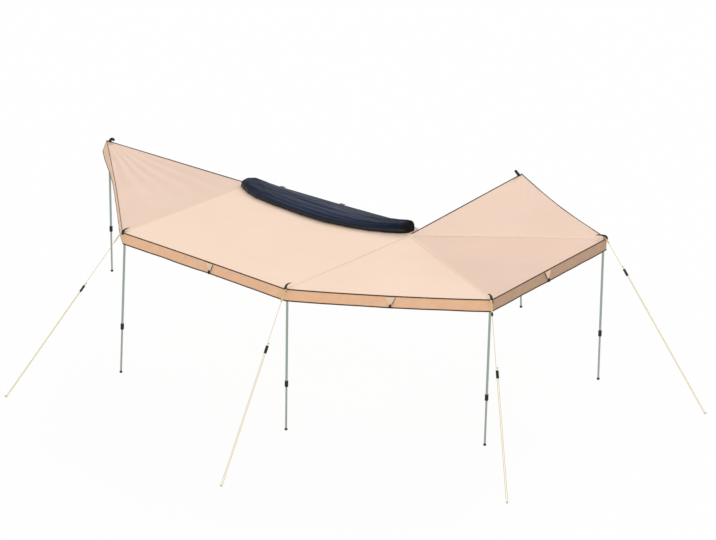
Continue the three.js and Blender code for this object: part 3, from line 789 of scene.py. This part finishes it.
# Valance. A 140 mm strip of the same canvas hangs from each outer edge. It is a little slack, so its
# hem waves and faint drag lines cross it. It flares at the two free ends, and billows out on the short
# front edge.
VALANCE_HEIGHT = 0.14
VALANCE_FLARE = {"ab": 0.055, "ef": 0.02}
VALANCE_BILLOW = {"ab": (0.010, 0.024)}
VALANCE_PROUD = 0.0015
SLOW_WAVE = 0.014
QUICK_WAVE = 0.005
HEM_STITCHES = 0.012


def valance_finish(name, light, dark):
    """The canopy's canvas where it hangs: drag lines run down it, and its edges are stitched."""
    finish = Finish(name, Sheen_Weight=0.15, Sheen_Roughness=0.6)
    place = finish.cloth_place()
    down, along = place.axis("x"), place.axis("y")
    weave = down.wave(THREAD_PITCH) * along.wave(THREAD_PITCH)
    clouds = place.grain(5, 4)
    bias = place.node("Mapping", None, {"Vector": place, "Rotation": (0, 0, 0.7)})
    drag = bias.grain(9, 4, (0.25, 1, 1))
    stitches = stitch_row(down, along, HEM_STITCHES)
    stitches += stitch_row(down, along, VALANCE_HEIGHT - HEM_STITCHES)
    tone = clouds * 0.4 + drag * 0.45 + weave * 0.15
    finish.set("Base Color", tone.within(0.25, 0.75).tint(dark, light))
    finish.set("Roughness", clouds * 0.15 + 0.75)
    finish.bump(weave * 0.05 + drag * 0.85 + stitches * 0.1, 0.004)
    return finish


# The valance is the canopy's canvas, so its darker, more saturated colours are painted shade on the hanging
# strip: deepest on DE, lightest on AB and EF.
valance_painted_shade = valance_finish("valance_painted_shade", (0.945, 0.588, 0.365), (0.845, 0.487, 0.283))
valance_shaded = valance_finish("valance_shaded", (0.56, 0.36, 0.232), (0.486, 0.29, 0.173))
valance_far_painted_shade = valance_finish("valance_far_painted_shade", (0.95, 0.645, 0.44), (0.84, 0.53, 0.34))
VALANCE_FINISHES = {"de": valance_shaded, "ab": valance_far_painted_shade, "ef": valance_far_painted_shade}


def outward_at(panel, turn):
    """The level direction out of the canopy, square to its outer edge."""
    step = panel.edge(min(1, turn + 0.01)) - panel.edge(max(0, turn - 0.01))
    return UP.cross(step).normalized() * -1


def valance_point(name, drop, turn):
    """A point of a panel's valance. drop goes from 0 at its top to 1 at its hem."""
    panel = PANELS[name]
    edge = panel.edge(turn)
    share = panel.whole_share(turn)
    off_corner = smooth(min(share, 1 - share) * 8)
    slow = noise.noise(Vector((edge.x * 1.6, edge.y * 1.6, 4)))
    quick = noise.noise(Vector((edge.x * 5, edge.y * 5, 9)))
    wave = (slow * SLOW_WAVE + quick * QUICK_WAVE) * drop * off_corner + VALANCE_PROUD * off_corner
    free_end = {"ab": 1 - turn, "ef": turn}.get(name, 0)
    flare = VALANCE_FLARE.get(name, 0) * drop * smooth(free_end * 3 - 2)
    least, growth = VALANCE_BILLOW.get(name, (0, 0))
    flare += (least + growth * turn**3) * drop * off_corner
    return edge - UP * VALANCE_HEIGHT * drop + outward_at(panel, turn) * (wave + flare)


for name, panel in PANELS.items():
    rows = 56 if isinstance(panel, SidePanel) else 100
    size = (VALANCE_HEIGHT, panel.chord())
    finish = VALANCE_FINISHES.get(name, valance_painted_shade)
    valance = cloth_sheet(f"valance_{name}", 10, rows, partial(valance_point, name), finish, size)
    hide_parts(f"canopy_{name}")
    fold_with(valance, panel)

# Edge binding. A dark brown folded tape is sewn over the top edge and the hem of the valance and along
# the canopy's two free edges, on the first and the last arm.
BINDING_HALF_HEIGHT = 0.008
BINDING_HALF_THICKNESS = 0.004
FREE_EDGE_HALF_WIDTH = 0.009
FREE_EDGE_HALF_THICKNESS = 0.0056
BINDING_SHADES = ((0.045, 0.022, 0.014), (0.09, 0.045, 0.028))
binding_finish = woven_finish(
    "binding_tape", [{"x": 1, "y": 1}], 0.003, 12, 0.5, BINDING_SHADES, 0.0004, roughness=0.8
)


def shares(steps):
    return [i / steps for i in range(steps + 1)]


for name, panel in PANELS.items():
    steps = 28 if isinstance(panel, SidePanel) else 50
    strips = bmesh.new()
    for drop in (0, 1):
        line = [valance_point(name, drop, turn) for turn in shares(steps)]
        sweep(strips, line, BINDING_HALF_THICKNESS, BINDING_HALF_HEIGHT)
    free_turn = {"ab": 0, "ef": 1}.get(name)
    if free_turn is not None:
        free_edge = [panel.top(out, free_turn) for out in shares(30)]
        sweep(strips, free_edge, FREE_EDGE_HALF_WIDTH, FREE_EDGE_HALF_THICKNESS)
        fall = [valance_point(name, drop, free_turn) for drop in shares(4)]
        out = outward_at(panel, free_turn)
        sweep(strips, fall, BINDING_HALF_THICKNESS, BINDING_HALF_THICKNESS, up=out)
    binding = closed_mesh(f"binding_{name}", strips, binding_finish)
    fold_with(binding, panel)

# Corner fittings. A rolled zinc eyelet in the cloth sits round each tip's post, and a black moulded
# strap is hooked over the corner. It arches up and points back along the arm.
EYELET_RADIUS = 0.0145
EYELET_WIRE = 0.0018
EYELET_LIFT = 0.0015
POST_INSET = 0.03
STRAP_HALF_WIDTH = 0.019
STRAP_HALF_THICKNESS = 0.0095
FOOTED_STRAPS = "af"
FOOT_RUN = (0.012, -0.006, -0.024, -0.036)
FOOT_HALF_THICKNESS = 0.004


def smooth_path(knots, steps=8):
    """A smooth line through knots, with steps points between each two."""
    knots = [Vector(knot) for knot in knots]
    before = knots[0] * 2 - knots[1]
    after = knots[-1] * 2 - knots[-2]
    run = [before, *knots, after]
    line = []
    for a, b, c, d in zip(run, run[1:], run[2:], run[3:]):
        for step in range(steps):
            t = step / steps
            bend = (a * 2 - b * 5 + c * 4 - d) * t**2 + (b * 3 - a - c * 3 + d) * t**3
            line.append((b * 2 + (c - a) * t + bend) / 2)
    return [*line, knots[-1]]


def strap_size(arm_name, share):
    """The straps taper to their free end, but those with a foot stay almost as thick."""
    return 1 - (0.1 if arm_name in FOOTED_STRAPS else 0.6) * share


# Each strap's knots: how far in from the corner along the arm, and how high above the cloth
STRAP_KNOTS = {
    "a": [(0.058, 0.0), (0.062, 0.022), (0.082, 0.044), (0.108, 0.046), (0.122, 0.030)],
    "b": [(-0.006, -0.022), (0.004, 0.014), (0.040, 0.030), (0.080, 0.034), (0.118, 0.030)],
    "c": [(-0.006, -0.028), (0.002, 0.016), (0.030, 0.046), (0.070, 0.052), (0.108, 0.046)],
    "d": [(-0.006, -0.038), (0.004, 0.012), (0.030, 0.040), (0.065, 0.046), (0.095, 0.036)],
    "e": [(-0.006, -0.010), (0.004, 0.024), (0.036, 0.040), (0.080, 0.044), (0.124, 0.044)],
    "f": [(0.062, 0.0), (0.082, 0.026), (0.108, 0.054), (0.135, 0.084)],
}
STRAP_FULLNESS = {"a": 2, "b": 0.85, "c": 0.95, "d": 1.2, "e": 1.3, "f": 2}
for arm_name, knots in STRAP_KNOTS.items():
    hub = ARM_PLACES[arm_name][0]
    inward = (HUBS[hub] - CORNERS[arm_name]).normalized()
    line = smooth_path([CORNERS[arm_name] + inward * along + UP * height for along, height in knots])
    half_thickness = STRAP_HALF_THICKNESS * STRAP_FULLNESS[arm_name]
    taper = partial(strap_size, arm_name)
    strap_mesh = bmesh.new()
    sweep(strap_mesh, line, STRAP_HALF_WIDTH, half_thickness, sides=12, taper=taper)
    if arm_name in FOOTED_STRAPS:
        foot = CORNERS[arm_name] + inward * knots[0][0]
        foot_line = [foot + inward * step + UP * FOOT_HALF_THICKNESS for step in FOOT_RUN]
        sweep(strap_mesh, foot_line, STRAP_HALF_WIDTH, FOOT_HALF_THICKNESS, sides=12)
    strap = closed_mesh(f"corner_strap_{arm_name}", strap_mesh, plastic_finish)
    eyelet_mesh = bmesh.new()
    place = Matrix.Translation((EYELET_RADIUS, 0, 0)) @ Matrix.Rotation(pi / 2, 4, "X")
    bmesh.ops.create_circle(eyelet_mesh, radius=EYELET_WIRE, segments=10, matrix=place)
    round_turn = {"cent": (0, 0, 0), "axis": UP, "angle": 2 * pi, "steps": 28, "use_merge": True}
    bmesh.ops.spin(eyelet_mesh, geom=eyelet_mesh.edges[:], **round_turn)
    eyelet_place = CORNERS[arm_name] + inward * POST_INSET + UP * EYELET_LIFT
    bmesh.ops.translate(eyelet_mesh, verts=eyelet_mesh.verts, vec=eyelet_place)
    eyelet = closed_mesh(f"eyelet_{arm_name}", eyelet_mesh, zinc_finish)
    for piece, slot in ((strap, "black_plastic"), (eyelet, "zinc_steel")):
        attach(piece, f"arm_{arm_name}_body")

# Rope hook. At corner D a black moulded hook joins the rope to the end of its pale webbing loop. It is a
# nylon barrel that is slimmer at both ends, and the rope runs through it.
HOOK_CORNER = "d"
HOOK_RADIUS = 0.0125
HOOK_LENGTH = 0.044
HOOK_OVERLAP = 0.0066
HOOK_END_SIZE = 0.6


def barrel_size(share):
    return HOOK_END_SIZE + (1 - HOOK_END_SIZE) * middle_hump(share)


_, hook_edge, hook_ground = [Vector(knot) for knot in ROPE_RUNS[HOOK_CORNER]]
hook_run = (hook_ground - hook_edge).normalized()
hook_start = LOOP_LENGTHS[HOOK_CORNER] - HOOK_OVERLAP
hook_line = [hook_edge + hook_run * (hook_start + HOOK_LENGTH * share) for share in shares(10)]
hook_mesh = bmesh.new()
sweep(hook_mesh, hook_line, HOOK_RADIUS, HOOK_RADIUS, sides=14, taper=barrel_size)
rope_hook = closed_mesh(f"rope_hook_{HOOK_CORNER}", hook_mesh, plastic_finish)
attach(rope_hook, f"arm_{HOOK_CORNER}_body")

# Side-wall tabs. Near the middle of three outer edges a triangle of pale webbing hangs on the valance,
# with a thin black cord down one side and a black cord lock at its point.
TAB_WIDTH = 0.12
TAB_POINT_WIDTH = 0.03
TAB_TOP = 0.008
TAB_BOTTOM = 0.112
TAB_PROUD = 0.006
TAB_BULGE = 0.004
TAB_THICKNESS = 0.0016
TAB_CORD_RADIUS = 0.003
CORD_PROUD = (0.002, 0.006)
LOCK_RADIUS = 0.0125
LOCK_LENGTH = 0.034
LOCK_ROUNDING = 0.003
LOCK_DROP = 0.008
BUTTON = {"radius1": 0.008, "radius2": 0.007, "depth": 0.01}
TAB_SHADES = ((0.89, 0.63, 0.43), (0.96, 0.72, 0.52))
TABS = {"side_rear": (0.08, 1), "cd": (0.51, 1), "de": (0.48, -1)}
tab_finish = woven_finish("tab_webbing", [{"x": 1}], 0.0025, 40, 0.4, TAB_SHADES, 0.0005, sewn=True)


def tab_point(name, across, down, proud=0):
    """A point of a tab, or one that stands proud of it."""
    panel, turn = PANELS[name], TABS[name][0]
    edge_run = (panel.edge(turn + 0.02) - panel.edge(turn - 0.02)).normalized()
    drop = TAB_TOP + (TAB_BOTTOM - TAB_TOP) * down
    width = TAB_WIDTH + (TAB_POINT_WIDTH - TAB_WIDTH) * down
    hang = valance_point(name, drop / VALANCE_HEIGHT, turn)
    bulge = TAB_PROUD + TAB_BULGE * middle_hump(down) * middle_hump(across)
    return hang + edge_run * (across - 0.5) * width + outward_at(panel, turn) * (bulge + proud)


for name, (turn, cord_side) in TABS.items():
    on_tab = partial(tab_point, name)
    tab = cloth_sheet(f"tab_{name}", 12, 12, on_tab, tab_finish, (TAB_WIDTH, TAB_BOTTOM), TAB_THICKNESS)
    lock_mesh = bmesh.new()
    barrel = {"radius1": LOCK_RADIUS, "radius2": LOCK_RADIUS, "depth": LOCK_LENGTH}
    bmesh.ops.create_cone(lock_mesh, cap_ends=True, segments=28, **barrel)
    rims = [edge for edge in lock_mesh.edges if any(len(face.verts) > 4 for face in edge.link_faces)]
    rounding = {"offset": LOCK_ROUNDING, "segments": 3, "profile": 0.5, "material": -1}
    bmesh.ops.bevel(lock_mesh, geom=rims, affect="EDGES", **rounding)
    button_place = Matrix.Translation((0, 0, LOCK_LENGTH / 2 + LOCK_ROUNDING))
    bmesh.ops.create_cone(lock_mesh, cap_ends=True, segments=20, matrix=button_place, **BUTTON)
    lock_centre = on_tab(0.5, 1, LOCK_RADIUS) - UP * LOCK_DROP
    bmesh.ops.translate(lock_mesh, verts=lock_mesh.verts, vec=lock_centre)
    lock = closed_mesh(f"cord_lock_{name}", lock_mesh, plastic_finish)
    cord_mesh = bmesh.new()
    cord_edge = 0.5 + 0.5 * cord_side
    cord_line = [on_tab(cord_edge, down, CORD_PROUD[0] + CORD_PROUD[1] * down) for down in (0, 0.35, 0.75)]
    cord_path = smooth_path([*cord_line, lock_centre], 5)
    outward = outward_at(PANELS[name], turn)
    sweep(cord_mesh, cord_path, TAB_CORD_RADIUS, TAB_CORD_RADIUS, up=outward)
    cord = closed_mesh(f"tab_cord_{name}", cord_mesh, plastic_finish)
    for piece in (tab, lock, cord):
        fold_with(piece, PANELS[name])

# Arm ties. Black webbing loops sewn under the seams go round the arms, so that wind can't lift the
# cloth off them. They are longer on the arms that lie lower on their hub's pin.
ARM_TOP_DROP = 0.0243
LEVEL_PITCH = 0.036
ARM_LEVELS = {"a": 1, "b": 0, "c": 0, "d": 1, "e": 2, "f": 3}
ARM_HALF = 0.0125
TIE_WIDTH = 0.03
TIE_CLEARANCE = 0.0015
TIE_LENGTH = 0.12
TIE_THICKNESS = 0.001
TIE_SHARES = (0.40, 0.62, 0.84)
tie_finish = woven_finish("black_webbing", [{"y": 1}], 0.0022, 60, 0.5, PLASTIC_SHADES, 0.0005, sewn=True)


def tie_section(depth):
    """The loop's section: from the seam down one side of the arm, under it and up the other side."""
    side = ARM_HALF + TIE_CLEARANCE
    bend = 0.002
    half = [(bend, -bend), (side, -depth + ARM_HALF), (side, -depth), (side - bend, -depth - side + bend)]
    half += [(side * 0.5, -depth - side), (0, -depth - side)]
    left = [(-across, down) for across, down in reversed(half[:-1])]
    return smooth_path([(across, down, 0) for across, down in half + left], 6)


def tie_point(arm_name, share, section, round_share, across):
    hub, azimuth = ARM_PLACES[arm_name]
    out = (CORNERS[arm_name] - HUBS[hub]).normalized()
    place = section[round(round_share * (len(section) - 1))]
    start = HUBS[hub].lerp(CORNERS[arm_name], share)
    return start + arm_direction(azimuth + 90) * place.x + UP * place.y + out * (across - 0.5) * TIE_WIDTH


for arm_name, level in ARM_LEVELS.items():
    section = tie_section(ARM_TOP_DROP + level * LEVEL_PITCH)
    for number, share in enumerate(TIE_SHARES, 1):
        name = f"arm_tie_{arm_name}_{number}"
        grid = (len(section) - 1, 3)
        place = partial(tie_point, arm_name, share, section)
        size = (TIE_LENGTH, TIE_WIDTH)
        sewn_piece(name, f"arm_{arm_name}_body", grid, place, tie_finish, size, TIE_THICKNESS)

# Travel bag. A slack navy cover of light coated polyester lies over the rail and the canopy's inner
# edge. It stands over the hubs and sags between them. A black cuff is drawn tight at its rear end, and
# its open hem is piped in black beside a zip.
BAG_REAR_X, BAG_FRONT_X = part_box("travel_bag")[0].x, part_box("travel_bag")[1].x
BAG_INBOARD = -0.27
BAG_WIDTH = 0.645
BAG_HEIGHT = 0.152
BAG_CLEARANCE = 0.001
BAG_RISE = 1.2 * CORNER_RISE / ARM_LENGTH
# Stations along the bag: share of its length, inboard edge, outboard edge, height and inboard shoulder
STATIONS = [
    (0, 0.14, 0.37, 0.82, 1),
    (0.035, 0.1, 0.5, 0.84, 0.9),
    (0.09, 0.04, 0.635, 0.74, 0.65),
    (0.16, 0, 0.76, 0.6, 0.45),
    (0.26, 0, 0.865, 0.52, 0.35),
    (0.385, 0, 0.94, 0.5, 0.35),
    (0.515, 0, 0.93, 0.5, 0.35),
    (0.67, 0, 0.87, 0.52, 0.35),
    (0.825, 0.02, 0.78, 0.64, 0.45),
    (0.89, 0.06, 0.69, 0.7, 0.75),
    (0.94, 0.12, 0.58, 0.72, 1),
    (0.98, 0.2, 0.48, 0.6, 1),
    (1, 0.28, 0.42, 0.5, 1),
]
END_CROWDING = 0.75
REAR_ROUNDING = 0.016
FRONT_ROUNDING = 0.03
LONG_FOLD_HEIGHT = 0.014
TUCK_DEPTH = 0.028
TUCK_REACH = 0.35
CRUMPLE_HEIGHT = 0.0035
PLEAT_HEIGHT = 0.015
BUNCH_HEIGHT = 0.02
BAG_COLUMNS = 260
BAG_ROUND = 72
BAG_FLAT_WIDTH = 0.74
BAG_THICKNESS = 0.0015


def bag_section(at):
    """The bag's edges, height and shoulder at a share of its length, eased between two stations."""
    for before, after in zip(STATIONS, STATIONS[1:]):
        if at <= after[0]:
            share = (at - before[0]) / (after[0] - before[0])
            eased = 0.6 * share + 0.4 * smooth(share)
            return [low + (high - low) * eased for low, high in zip(before[1:], after[1:])]
    return STATIONS[-1][1:]


def rounded_end(share, reach):
    """A quarter circle from 0 at the very end to 1 at reach."""
    return sqrt(1 - (1 - min(1, share / reach)) ** 2)


def bag_point(column_share, round_share):
    """A point of the bag: along it from the rear, and round from its inboard hem over the top."""
    length_share = column_share - END_CROWDING * sin(2 * pi * column_share) / (2 * pi)
    x = BAG_REAR_X + (BAG_FRONT_X - BAG_REAR_X) * length_share
    closing = rounded_end(length_share, REAR_ROUNDING) ** 0.7
    closing *= rounded_end(1 - length_share, FRONT_ROUNDING)
    inboard, outboard, fullness, shoulder = bag_section(length_share)
    angle = pi * round_share
    half_width = (outboard - inboard) / 2 * (0.25 + 0.75 * closing)
    across = (outboard + inboard) / 2 - cos(angle) * half_width
    y = HUBS["rear"].y + BAG_INBOARD + across * BAG_WIDTH
    beyond = max(0, x - HUBS["front"].x)
    rise = (beyond + max(0, y - HUBS["front"].y)) * BAG_RISE
    lift = sin(angle) ** 0.62 * (shoulder + (1 - shoulder) * smooth((1 - cos(angle)) * 0.95))
    height = lift * (BAG_HEIGHT - rise) * fullness * (0.12 + 0.88 * closing)
    long_fold = noise.noise(Vector((x * 0.8, round_share * 5.5 + x * 0.5, 2)))
    tuck = abs(noise.noise(Vector((x * 1.1, round_share * 9 + x * 0.7, 5))))
    crumple = noise.noise(Vector((x * 7, round_share * 16, 8)))
    folds = long_fold * LONG_FOLD_HEIGHT - TUCK_DEPTH * (TUCK_REACH - min(TUCK_REACH, tuck))
    folds += crumple * CRUMPLE_HEIGHT
    bunch = max(0, 1 - length_share / 0.045) + 0.45 * max(0, (length_share - 0.95) / 0.05)
    pleats = sin(round_share * 2 * pi * 8 + 3 * crumple) * PLEAT_HEIGHT * bunch
    pleats += noise.noise(Vector((x * 22, round_share * 18, 3))) * BUNCH_HEIGHT * bunch
    outward = Vector((0, -cos(angle), sin(angle) * 0.8))
    point = Vector((x, y, CLOTH_ABOVE_MOUNT + BAG_CLEARANCE + rise + height))
    return point + outward * (folds + pleats) * sin(angle) ** 0.5


BAG_NAVY = (0.009, 0.014, 0.033)
BAG_SHEEN_BLUE = (0.021, 0.034, 0.074)
BAG_SLATE = (0.019, 0.024, 0.043)
CUFF_WIDTH = 0.075
CUFF_EDGE = BAG_REAR_X + CUFF_WIDTH
bag_finish = Finish("bag_polyester", Specular_IOR_Level=0.06)
bag_place = bag_finish.cloth_place()
bag_weave = bag_place.axis("x").wave(0.0011) * bag_place.axis("y").wave(0.0011)
bag_folds_and_sheen = bag_place.grain(7, 4, (0.16, 1, 1))
bag_patches = bag_place.grain(3.2, 3, (0.3, 1, 1))
bag_crumple = bag_place.grain(26, 4, (0.5, 1, 1))
# Painted sheen: the long fold streaks, which are real folds in the bump, are tinted blue as a painted
# highlight along them.
bag_painted_sheen = bag_folds_and_sheen.within(0.42, 0.68).tint(BAG_NAVY, BAG_SHEEN_BLUE)
bag_body = bag_patches.within(0.46, 0.66).tint(bag_painted_sheen, BAG_SLATE)
past_cuff = bag_finish.object_place().axis("x").within(CUFF_EDGE - 0.004, CUFF_EDGE + 0.004)
bag_finish.set("Base Color", past_cuff.tint(PLASTIC_BLACK, bag_body))
bag_finish.set("Roughness", bag_crumple * 0.2 + 0.5)
bag_finish.bump(bag_weave * 0.04 + bag_crumple * 0.5 + bag_folds_and_sheen * 0.46, 0.008)
bag_flat = (BAG_FRONT_X - BAG_REAR_X, BAG_FLAT_WIDTH)
bag = cloth_sheet(
    "bag_cover", BAG_COLUMNS, BAG_ROUND, bag_point, bag_finish, size=bag_flat, thickness=BAG_THICKNESS
)
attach(bag, "rail")
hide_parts("travel_bag")

PIPING_RADIUS = 0.006
PIPING_LIFT = UP * 0.004
ZIP_HALF_WIDTH = 0.013
ZIP_HALF_THICKNESS = 0.0022
ZIP_LIFT = Vector((0, 0.002, 0.002))
BAG_RING_RADIUS = 0.017
BAG_RING_WIRE = 0.003
BAG_RING_TILT = 0.3
BAG_RING_OUT = 0.012


def along_bag(start, length, round_share, lift):
    """A line on the bag, from a start share for a share of its length."""
    return [bag_point(start + length * share, round_share) + lift for share in shares(140)]


piping_line = along_bag(0.03, 0.955, 0.992, PIPING_LIFT)
piping = round_line("bag_piping", piping_line, PIPING_RADIUS, plastic_finish)
zip_mesh = bmesh.new()
zip_line = along_bag(0.05, 0.92, 0.955, ZIP_LIFT)
sweep(zip_mesh, zip_line, ZIP_HALF_WIDTH, ZIP_HALF_THICKNESS, up=Vector((0, 1, 0.3)))
zip_tape = closed_mesh("bag_zip", zip_mesh, plastic_finish)
ring_centre = Vector((BAG_REAR_X - BAG_RING_OUT, 0.135, 0.047))
ring_points = []
for angle in full_turn(32):
    around = Vector((cos(angle), BAG_RING_TILT * sin(angle), sin(angle)))
    ring_points.append(ring_centre + around * BAG_RING_RADIUS)
ring = round_line("bag_ring", ring_points, BAG_RING_WIRE, zinc_finish, cyclic=True)
for piece, slot in ((piping, "bag_cloth"), (zip_tape, "bag_cloth"), (ring, "zinc_steel")):
    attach(piece, "rail")

# Floor, lights and background. The floor is pale and matt. It shows white to the camera, with a soft
# trace of the awning's shadow.
def seen_or_mirrored(start):
    """1 for camera and mirror rays, and 0 for the rays that light the scene."""
    seen = start.node("LightPath", None, None, "Is Camera Ray")
    return seen.maths("MAXIMUM", start.node("LightPath", None, None, "Is Glossy Ray"))


floor_mesh = bmesh.new()
bmesh.ops.create_grid(floor_mesh, x_segments=1, y_segments=1, size=60)
bmesh.ops.translate(floor_mesh, verts=floor_mesh.verts, vec=(0, 0, GROUND))
floor_finish = Finish("floor", Base_Color=(0.95, 0.95, 0.95, 1), Roughness=1, Specular_IOR_Level=0)
glow = floor_finish.start.node("Emission", None, {"Color": (1, 1, 1, 1), "Strength": 1.0})
seen = seen_or_mirrored(floor_finish.start) * 0.94
body = Value(floor_finish.tree, floor_finish.shader.outputs[0])
floor_mix = floor_finish.start.node("MixShader", None, {0: seen, 1: body, 2: glow})
floor_output = floor_finish.tree.nodes["Material Output"]
floor_finish.tree.links.new(floor_mix.output, floor_output.inputs["Surface"])
floor = finish_mesh("floor", floor_mesh, floor_finish)

world = bpy.data.worlds.new("studio")
world.use_nodes = True
scene.world = world
sky = Value(world.node_tree)
background = world.node_tree.nodes["Background"]
background.inputs["Color"].default_value = (1, 1, 1, 1)
sky.feed(background.inputs["Strength"], seen_or_mirrored(sky) * 0.3 + 0.7)


def soft_sun(name, azimuth, elevation, strength, spread):
    """A broad distant lamp: azimuth is where it stands, from the vehicle's front towards outboard."""
    lamp = bpy.data.lights.new(name, "SUN")
    lamp.energy = strength
    lamp.angle = radians(spread)
    placed = bpy.data.objects.new(name, lamp)
    toward = arm_direction(azimuth) * cos(radians(elevation))
    toward.z = sin(radians(elevation))
    placed.rotation_euler = toward.to_track_quat("Z", "Y").to_euler()
    scene.collection.objects.link(placed)


soft_sun("key_lamp", -70, 32, 1.25, 25)
soft_sun("fill_lamp", 130, 20, 0.45, 60)
